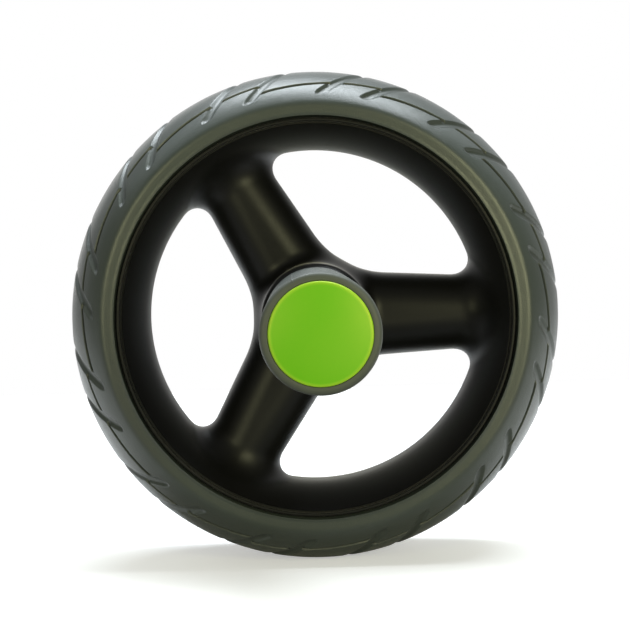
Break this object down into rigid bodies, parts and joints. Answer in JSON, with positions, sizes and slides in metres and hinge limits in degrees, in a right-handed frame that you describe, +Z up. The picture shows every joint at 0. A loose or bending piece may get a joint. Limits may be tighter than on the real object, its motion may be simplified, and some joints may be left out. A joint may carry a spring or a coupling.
{
  "type": "ab wheel roller",
  "caption": "Hand-held exercise roller: a spoked wheel with a treaded rubber tyre turns on bearings between soft cylindrical grips at the ends of its axle.",
  "frame": {"origin": "centre of the wheel, on the axle's axis and the wheel's middle plane", "axes": "+Y along the axle towards the left grip, +Z up, +X the way the wheel rolls; the wheel stands on its tyre and one spoke points along +X"},
  "size_m": [0.2, 0.3032, 0.2],
  "materials": {
    "tyre_rubber": "satin moulded rubber",
    "wheel_plastic": "satin black moulding",
    "screw_steel": "black zinc",
    "axle_steel": "turned",
    "fastener_steel": "bright zinc",
    "bearing_steel": "ground",
    "seal_rubber": "matt",
    "cage_plastic": "natural",
    "cover_plastic": "satin",
    "core_plastic": "as moulded",
    "grip_rubber": "soft satin",
    "cap_plastic": "satin gloss"
  },
  "bodies": {
    "handlebar": {"axle": "axle_steel", "bearing_spacer": "axle_steel", "end_washers": "fastener_steel", "lock_nuts": "fastener_steel", "bearing_inner_ring_right": "bearing_steel", "clamp_collar_right": "axle_steel", "handle_core_right": "core_plastic", "grip_right": "grip_rubber", "end_cap_right": "cap_plastic", "bearing_inner_ring_left": "bearing_steel", "clamp_collar_left": "axle_steel", "handle_core_left": "core_plastic", "grip_left": "grip_rubber", "end_cap_left": "cap_plastic"},
    "wheel": {"tyre": "tyre_rubber", "wheel_half_right": "wheel_plastic", "wheel_half_left": "wheel_plastic", "shell_screws": "screw_steel", "bearing_outer_ring_right": "bearing_steel", "bearing_seals_right": "seal_rubber", "hub_cover_right": "cover_plastic", "bearing_outer_ring_left": "bearing_steel", "bearing_seals_left": "seal_rubber", "hub_cover_left": "cover_plastic"},
    "ball_train_right": {"bearing_balls_right": "bearing_steel", "bearing_cage_right": "cage_plastic"},
    "ball_train_left": {"bearing_balls_left": "bearing_steel", "bearing_cage_left": "cage_plastic"}
  },
  "joints": [
    {"name": "wheel_spin", "type": "hinge", "parent": "handlebar", "child": "wheel", "pos_m": [0, 0, 0], "axis": [0, 1, 0], "continuous": true},
    {"name": "ball_train_right_spin", "type": "hinge", "parent": "handlebar", "child": "ball_train_right", "pos_m": [0, -0.028, 0], "axis": [0, 1, 0], "continuous": true},
    {"name": "ball_train_left_spin", "type": "hinge", "parent": "handlebar", "child": "ball_train_left", "pos_m": [0, 0.028, 0], "axis": [0, 1, 0], "continuous": true}
  ],
  "couplings": [
    {"joint": "ball_train_right_spin", "follows": "wheel_spin", "ratio": 0.619},
    {"joint": "ball_train_left_spin", "follows": "wheel_spin", "ratio": 0.619}
  ]
}
